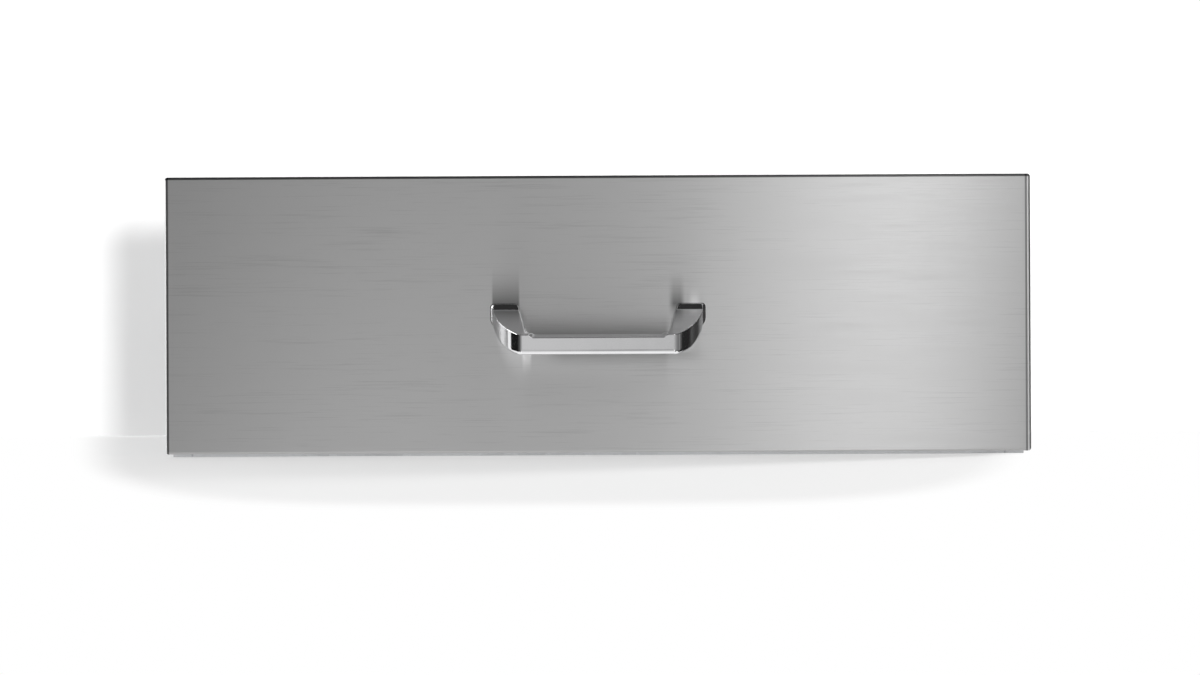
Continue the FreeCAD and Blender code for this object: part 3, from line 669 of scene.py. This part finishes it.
class BuildPull(bpy.types.Operator):
    """Builds the chrome pull with its flared feet and lowered bar"""
    bl_idname = "drawer_unit.build_pull"
    bl_label = "Build the pull"

    def execute(self, context):
        loft = PullLoft(context.scene.pull_shape)
        right = [loft.section(*station) for station in loft.stations()]
        left = [[Vector((-p.x, p.y, p.z)) for p in ring] for ring in reversed(right[:-1])]
        sharp = loft.sharp_rings + [-1 - ring for ring in loft.sharp_rings]
        piece = lofted_mesh("cast_pull", right + left, sharp)
        even_normals(piece)
        piece.data.materials.append(chrome("polished chrome",
                                           context.scene.steel_finish.chrome_colour))
        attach(piece, "drawer")
        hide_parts("handle")
        return {"FINISHED"}


class FinishBox(bpy.types.Operator):
    """Gives the drawer box a satin finish, brushed along the drawer"""
    bl_idname = "drawer_unit.finish_box"
    bl_label = "Finish the drawer box"

    roughness = 0.42
    anisotropy = 0.6
    coarseness = 1.5

    def execute(self, context):
        finish = context.scene.steel_finish
        across = self.satin("satin box wall", finish, ALONG_X)
        along = self.satin("satin box side", finish, ALONG_Y)
        dress(["drawer_front_wall", "drawer_back_wall"], across)
        dress(["drawer_floor"] + paired("drawer_side"), along)
        return {"FINISHED"}

    def satin(self, name, finish, along):
        return brushed_steel(name, finish.front_colour, self.roughness, self.anisotropy,
                             finish.grain_pitch * self.coarseness, finish.grain_length, along)


class FinishCasing(bpy.types.Operator):
    """Gives the casing its galvanised spangle"""
    bl_idname = "drawer_unit.finish_casing"
    bl_label = "Finish the casing"

    def execute(self, context):
        zinc = galvanised("galvanised casing", context.scene.steel_finish.zinc_colour)
        dress(["casing_base", "casing_top", "casing_back"] + paired("casing_side"), zinc)
        return {"FINISHED"}


class FinishSlides(bpy.types.Operator):
    """Dresses the telescopic slides, their cages, balls and levers"""
    bl_idname = "drawer_unit.finish_slides"
    bl_label = "Finish the slides"

    def execute(self, context):
        zinc = bright_zinc("bright zinc", (0.68, 0.7, 0.73))
        dress(paired("slide_outer", "slide_middle", "slide_inner", "outer_cage", "inner_cage"),
              zinc)
        dress(paired("outer_balls", "inner_balls"), chrome("bearing steel", (0.8, 0.8, 0.8)))
        dress(paired("release_lever"),
              moulded("black lever plastic", (0.03, 0.03, 0.032), 0.45, 1500, 0.0001))
        return {"FINISHED"}


class FinishFasteners(bpy.types.Operator):
    """Dresses the screws and the rubber bumpers"""
    bl_idname = "drawer_unit.finish_fasteners"
    bl_label = "Finish screws and bumpers"

    def execute(self, context):
        dress(["handle_screws", "front_screws", "casing_slide_screws", "drawer_slide_screws"],
              bright_zinc("zinc screws", (0.66, 0.66, 0.67)))
        dress(["front_bumpers"],
              moulded("black bumper rubber", (0.025, 0.025, 0.026), 0.7, 900, 0.0002))
        return {"FINISHED"}


# Stage

# Lamps, in metres from the middle of the casing's underside, and degrees
KEY_PLACE = (2.2, 1.0, 1.0)
KEY_TARGET = (0, -0.3, 0.0)
KEY_SIZE = 0.6
FILL_PLACE = (-1.6, -2.2, 2.2)
FILL_TARGET = (0, 0, 0.1)
FILL_SIZE = 1.4
FILL_SHARE = 0.5
WALL_LAMP_DIRECTION = (-0.262, 1.0, -0.03)
WALL_LAMP_ANGLE = 5.0
WALL_LAMP_STRENGTH = 2.2

# Reflection cards: depth of the flat ones, half width of the widest and its least gain
CARD_Y = FACE_Y - 2.9
CARD_REACH = 1.6
LEAST_GAIN = 0.05

# Floor and wall: half their width, how high the wall is and how far it stands behind the casing
FLOOR_HALF = 6.0
WALL_HALF = 3.0
WALL_HEIGHT = 2.5
WALL_GAP = 0.004

# Their shade, the glow that the camera adds, and how far they are seen along each axis. The fade to
# white starts at a share of that reach, is shifted sideways and fans out behind the front.
STAGE_SHADE = 0.75
FLOOR_GLOW = 0.26
WALL_GLOW = 0.22
NO_FADE = 1e3
FLOOR_REACH = (0.42, 1.08, 1.0)
WALL_REACH = (0.64, NO_FADE, 0.7)
FADE_START = 0.77
FADE_SHIFT = 0.1
FAN_PER_METRE = 0.4


def reflector(name, points, faces, material):
    """Light card that shows only in reflections."""
    mesh = bpy.data.meshes.new(name)
    mesh.from_pydata([Vector(point) for point in points], [], faces)
    piece = bpy.data.objects.new(name, mesh)
    bpy.context.scene.collection.objects.link(piece)
    piece.data.materials.append(material)
    piece.visible_camera = False
    piece.visible_shadow = False
    piece.visible_diffuse = False


def upright_card(name, low, high, y, material):
    """Rectangular card between two corners given as x and z."""
    points = [(low[0], y, low[1]), (high[0], y, low[1]), (high[0], y, high[1]),
              (low[0], y, high[1])]
    reflector(name, points, [(0, 1, 2, 3)], material)


def ring_strip(name, angles, radius, heights, material):
    """Upright strip bent round the pull, angles counted from straight in front of it."""
    steps = 40
    points = []
    for step in range(steps + 1):
        angle = math.radians(lerp(*angles, step / steps))
        x = radius * math.sin(angle)
        y = PULL_LOW.y - radius * math.cos(angle)
        points += [(x, y, height) for height in heights]
    faces = [(2 * k, 2 * k + 2, 2 * k + 3, 2 * k + 1) for k in range(steps)]
    reflector(name, points, faces, material)


def glow_ramp(tree, value, stops, low, high):
    """Brightness that follows a value: stops are values and levels."""
    share = node(tree, "ShaderNodeMapRange", {"Value": value, "From Min": low, "From Max": high})
    ramp = node(tree, "ShaderNodeValToRGB", {"Fac": share.outputs["Result"]})
    ramp.color_ramp.interpolation = "LINEAR"
    elements = ramp.color_ramp.elements
    while len(elements) < len(stops):
        elements.new(0.5)
    for element, (at, level) in zip(elements, stops):
        element.position = (at - low) / (high - low)
        element.color = (level, level, level, 1.0)
    return ramp.outputs["Color"]


def empty_material(name):
    material = bpy.data.materials.new(name)
    material.use_nodes = True
    material.node_tree.nodes.clear()
    return material, material.node_tree


def glow_material(name, strength=1.0):
    """Plain glow, with its node tree and its emission node to add to."""
    material, tree = empty_material(name)
    glow = node(tree, "ShaderNodeEmission", {"Strength": strength})
    node(tree, "ShaderNodeOutputMaterial", {"Surface": glow.outputs[0]})
    return material, tree, glow


def card_material(name, stops, slopes, reach):
    """Glow across the card that leans with height: slopes are places and gains per metre up."""
    material, tree, glow = glow_material(name)
    axes = position(tree)
    (start, start_gain), (end, end_gain) = slopes
    gain = spread(tree, axes["X"], start_gain, end_gain, (start, end))
    lean = math_node(tree, "MULTIPLY_ADD", gain, axes["Z"], 1.0)
    tree.links.new(glow_ramp(tree, axes["X"], stops, -reach, reach), glow.inputs["Color"])
    tree.links.new(math_node(tree, "MAXIMUM", lean, LEAST_GAIN), glow.inputs["Strength"])
    return material


def strip_material(name, stops):
    """Glow that changes with the angle round the pull, in degrees."""
    material, tree, glow = glow_material(name)
    axes = position(tree)
    ahead = math_node(tree, "SUBTRACT", PULL_LOW.y, axes["Y"])
    angle = math_node(tree, "ARCTAN2", axes["X"], ahead)
    degrees = math_node(tree, "DEGREES", angle)
    tree.links.new(glow_ramp(tree, degrees, stops, -90, 90), glow.inputs["Color"])
    return material


def fade_outward(tree, reach):
    """Zero round the object and one beyond its reach, in a space that fans out behind."""
    axes = position(tree)
    fan = math_node(tree, "MULTIPLY_ADD", axes["Y"], FAN_PER_METRE, 1 - FAN_PER_METRE * FACE_Y)
    across = math_node(tree, "DIVIDE", axes["X"], fan)
    point = node(tree, "ShaderNodeCombineXYZ", {0: across, 1: axes["Y"], 2: axes["Z"]})
    spot = node(tree, "ShaderNodeMapping",
                {"Vector": point.outputs[0], "Scale": [1 / length for length in reach],
                 "Location": (FADE_SHIFT, 0, 0)}).outputs["Vector"]
    square = node(tree, "ShaderNodeVectorMath", {0: spot, 1: spot}, operation="MULTIPLY")
    away = node(tree, "ShaderNodeVectorMath", {0: square.outputs[0]}, operation="LENGTH")
    fade = node(tree, "ShaderNodeMapRange",
                {"Value": away.outputs["Value"], "From Min": FADE_START, "From Max": 1.0},
                interpolation_type="SMOOTHSTEP")
    return fade.outputs["Result"]


def matt_surface(tree, glow_level, reach):
    """Matt shade that the camera sees a little brighter, and white far from the object."""
    path = node(tree, "ShaderNodeLightPath")
    seen = node(tree, "ShaderNodeBsdfDiffuse", {"Color": (STAGE_SHADE,) * 3 + (1.0,)})
    glow = node(tree, "ShaderNodeEmission", {"Strength": glow_level})
    bright = node(tree, "ShaderNodeAddShader", {0: seen.outputs[0], 1: glow.outputs[0]})
    white = node(tree, "ShaderNodeEmission", {"Strength": 1.0})
    shown = node(tree, "ShaderNodeMixShader",
                 {0: fade_outward(tree, reach), 1: bright.outputs[0], 2: white.outputs[0]})
    return node(tree, "ShaderNodeMixShader",
                {0: path.outputs["Is Camera Ray"], 1: seen.outputs[0],
                 2: shown.outputs[0]}).outputs[0]


def floor_material(name, glow_level):
    material, tree = empty_material(name)
    surface = matt_surface(tree, glow_level, FLOOR_REACH)
    node(tree, "ShaderNodeOutputMaterial", {"Surface": surface})
    return material


def wall_material(name, glow_level):
    """Like the floor, but see-through from behind."""
    material, tree = empty_material(name)
    front = matt_surface(tree, glow_level, WALL_REACH)
    side = node(tree, "ShaderNodeNewGeometry")
    gone = node(tree, "ShaderNodeBsdfTransparent")
    either = node(tree, "ShaderNodeMixShader",
                  {0: side.outputs["Backfacing"], 1: front, 2: gone.outputs[0]})
    node(tree, "ShaderNodeOutputMaterial", {"Surface": either.outputs[0]})
    return material


def make_world(studio):
    """White to the camera, white low down and a darker ceiling in reflections."""
    world = bpy.data.worlds.new("studio room")
    bpy.context.scene.world = world
    world.use_nodes = True
    tree = world.node_tree
    tree.nodes.clear()
    path = node(tree, "ShaderNodeLightPath")
    coordinates = node(tree, "ShaderNodeTexCoord")
    split = node(tree, "ShaderNodeSeparateXYZ", {0: coordinates.outputs["Generated"]})
    stops = [(-0.1, 1.0), (0.15, 0.85), (0.5, 0.75), (0.76, 0.7), (0.85, studio.ceiling),
             (0.9, studio.ceiling / 8)]
    room = glow_ramp(tree, split.outputs["Z"], stops, -1.0, 1.0)
    soft = node(tree, "ShaderNodeBackground",
                {"Color": (1.0, 1.0, 1.0, 1.0), "Strength": studio.surround})
    seen_in_metal = node(tree, "ShaderNodeBackground", {"Color": room, "Strength": 1.0})
    white = node(tree, "ShaderNodeBackground",
                 {"Color": (1.0, 1.0, 1.0, 1.0), "Strength": 1.0})
    glossy = node(tree, "ShaderNodeMixShader",
                  {0: path.outputs["Is Glossy Ray"], 1: soft.outputs[0],
                   2: seen_in_metal.outputs[0]})
    final = node(tree, "ShaderNodeMixShader",
                 {0: path.outputs["Is Camera Ray"], 1: glossy.outputs[0], 2: white.outputs[0]})
    node(tree, "ShaderNodeOutputWorld", {"Surface": final.outputs[0]})


def area_lamp(name, location, target, size, power):
    data = bpy.data.lights.new(name, "AREA")
    data.shape = "DISK"
    data.size = size
    data.energy = power
    lamp = bpy.data.objects.new(name, data)
    lamp.location = location
    lamp.rotation_mode = "QUATERNION"
    lamp.rotation_quaternion = (Vector(target) - Vector(location)).to_track_quat("-Z", "Y")
    lamp.visible_camera = False
    lamp.visible_glossy = False
    bpy.context.scene.collection.objects.link(lamp)


def sun_lamp(name, direction, angle, strength):
    data = bpy.data.lights.new(name, "SUN")
    data.angle = math.radians(angle)
    data.energy = strength
    lamp = bpy.data.objects.new(name, data)
    lamp.rotation_mode = "QUATERNION"
    lamp.rotation_quaternion = Vector(direction).to_track_quat("-Z", "Y")
    lamp.visible_glossy = False
    bpy.context.scene.collection.objects.link(lamp)


class SetStage(bpy.types.Operator):
    """Adds the floor, the lamps, the reflection cards, the room and the camera"""
    bl_idname = "drawer_unit.set_stage"
    bl_label = "Set the stage"

    def execute(self, context):
        studio = context.scene.studio_light
        self.add_floor()
        self.add_wall()
        make_world(studio)
        area_lamp("key lamp", KEY_PLACE, KEY_TARGET, KEY_SIZE, studio.key_strength)
        area_lamp("fill lamp", FILL_PLACE, FILL_TARGET, FILL_SIZE,
                  studio.key_strength * FILL_SHARE)
        sun_lamp("wall lamp", WALL_LAMP_DIRECTION, WALL_LAMP_ANGLE, WALL_LAMP_STRENGTH)
        self.add_cards()
        self.add_camera(studio)
        return {"FINISHED"}

    def add_floor(self):
        mesh = bpy.data.meshes.new("studio_floor")
        half, ground = FLOOR_HALF, CAD_LOW.z
        mesh.from_pydata([(-half, -half, ground), (half, -half, ground), (half, half, ground),
                          (-half, half, ground)], [], [(0, 1, 2, 3)])
        floor = bpy.data.objects.new("studio_floor", mesh)
        bpy.context.scene.collection.objects.link(floor)
        floor.data.materials.append(floor_material("pale floor", FLOOR_GLOW))
        floor.visible_glossy = False

    def add_wall(self):
        """Backdrop that takes the shadow and isn't there when seen from behind."""
        mesh = bpy.data.meshes.new("studio_wall")
        half, y = WALL_HALF, CAD_HIGH.y + WALL_GAP
        low, high = CAD_LOW.z, CAD_LOW.z + WALL_HEIGHT
        mesh.from_pydata([(-half, y, low), (half, y, low), (half, y, high), (-half, y, high)],
                         [], [(0, 1, 2, 3)])
        wall = bpy.data.objects.new("studio_wall", mesh)
        bpy.context.scene.collection.objects.link(wall)
        wall.data.materials.append(wall_material("pale wall", WALL_GLOW))
        wall.visible_glossy = False
        wall.visible_shadow = False
        wall.visible_diffuse = False

    def add_cards(self):
        self.add_front_card()
        self.add_ring_strips()
        self.add_small_cards()

    def add_front_card(self):
        """Wide card that the brushed front mirrors, dark on the left and light on the right."""
        stops = [(-1.6, 0.1), (-0.8, 0.22), (-0.68, 0.33), (-0.55, 0.42), (-0.43, 0.47),
                 (-0.13, 0.49), (-0.07, 0.44), (0.07, 0.33), (0.13, 0.365), (0.184, 0.53),
                 (0.31, 0.82), (0.43, 1.15), (0.55, 1.57), (0.68, 1.56), (0.8, 0.69), (1.0, 0.2)]
        material = card_material("gradient card", stops, ((-0.8, -2.0), (0.8, 0.9)), CARD_REACH)
        upright_card("front_card", (-CARD_REACH, -2.0), (CARD_REACH, 2.4), CARD_Y, material)

    def add_ring_strips(self):
        """Light and dark strips that the chrome pull mirrors at its sides."""
        flags = strip_material("side flags", [
            (-60, 0.01), (-30, 0.1), (-10, 0.42), (6, 0.5), (30, 0.3), (58, 0.16), (72, 0.2),
            (76, 0.4), (79, 0.2), (82, 0.02)])
        shades = strip_material("tall shades", [(-56, 0.02), (56, 0.01)])
        glow = strip_material("left glow", [(-90, 3.2), (-66, 3.2)])
        ring_strip("left_flag", (-89, -6), 1.2, (0.0, 0.22), flags)
        ring_strip("right_flag", (6, 98), 1.2, (0.0, 0.22), flags)
        ring_strip("left_glow", (-90, -67), 1.9, (0.35, 1.8), glow)
        ring_strip("left_shade", (-64, -20.5), 2.6, (-0.5, 2.2), shades)
        ring_strip("right_shade", (20.5, 98), 2.6, (-0.5, 2.6), shades)
        ring_strip("right_low_shade", (52, 98), 2.6, (-1.6, -0.5), shades)

    def add_small_cards(self):
        """Light cards that the bar's face and its underside mirror."""
        face = card_material("face glow", [(-0.16, 0.62), (0.0, 0.58), (0.16, 0.53)],
                             ((-1, 0.0), (1, 0.0)), 0.4)
        upright_card("face_card", (-0.2, 0.02), (0.17, 0.2), CARD_Y + 0.05, face)
        underside = glow_material("low glow", 0.8)[0]
        upright_card("low_card", (-0.3, -1.9), (0.5, -0.42), CARD_Y + 0.4, underside)

    def add_camera(self, studio):
        data = bpy.data.cameras.new("photo camera")
        data.lens = studio.lens
        data.sensor_width = 36.0
        metres_per_pixel = FRONT_WIDTH / PHOTO_FRONT_WIDTH
        distance = PHOTO_WIDTH * metres_per_pixel * data.lens / data.sensor_width
        camera = bpy.data.objects.new("photo camera", data)
        x = FRONT_MIDDLE.x + (PHOTO_WIDTH / 2 - PHOTO_FRONT_X) * metres_per_pixel
        z = FRONT_MIDDLE.z + (PHOTO_FRONT_Y - PHOTO_HEIGHT / 2) * metres_per_pixel
        camera.location = (x, FACE_Y - distance, z)
        camera.rotation_euler = (math.pi / 2, studio.roll, 0.0)
        bpy.context.scene.collection.objects.link(camera)
        bpy.context.scene.camera = camera
        bpy.context.scene.view_settings.view_transform = "Standard"


OPERATORS = (FinishFront, BuildPull, FinishBox, FinishCasing, FinishSlides, FinishFasteners,
             SetStage)
GROUPS = (PullShape, SteelFinish, StudioLight)


class DrawerPanel(bpy.types.Panel):
    """Lists the steps that finish the drawer unit"""
    bl_idname = "VIEW3D_PT_drawer_unit"
    bl_label = "Storage drawer unit"
    bl_space_type = "VIEW_3D"
    bl_region_type = "UI"
    bl_category = "Drawer"

    def draw(self, context):
        for operator in OPERATORS:
            self.layout.operator(operator.bl_idname)


def register():
    for kind in GROUPS + OPERATORS + (DrawerPanel,):
        bpy.utils.register_class(kind)
    bpy.types.Scene.pull_shape = PointerProperty(type=PullShape)
    bpy.types.Scene.steel_finish = PointerProperty(type=SteelFinish)
    bpy.types.Scene.studio_light = PointerProperty(type=StudioLight)


def unregister():
    del bpy.types.Scene.pull_shape
    del bpy.types.Scene.steel_finish
    del bpy.types.Scene.studio_light
    for kind in reversed(GROUPS + OPERATORS + (DrawerPanel,)):
        bpy.utils.unregister_class(kind)


def main():
    register()
    for operator in OPERATORS:
        group, name = operator.bl_idname.split(".")
        getattr(getattr(bpy.ops, group), name)()


if __name__ == "__main__":
    main()
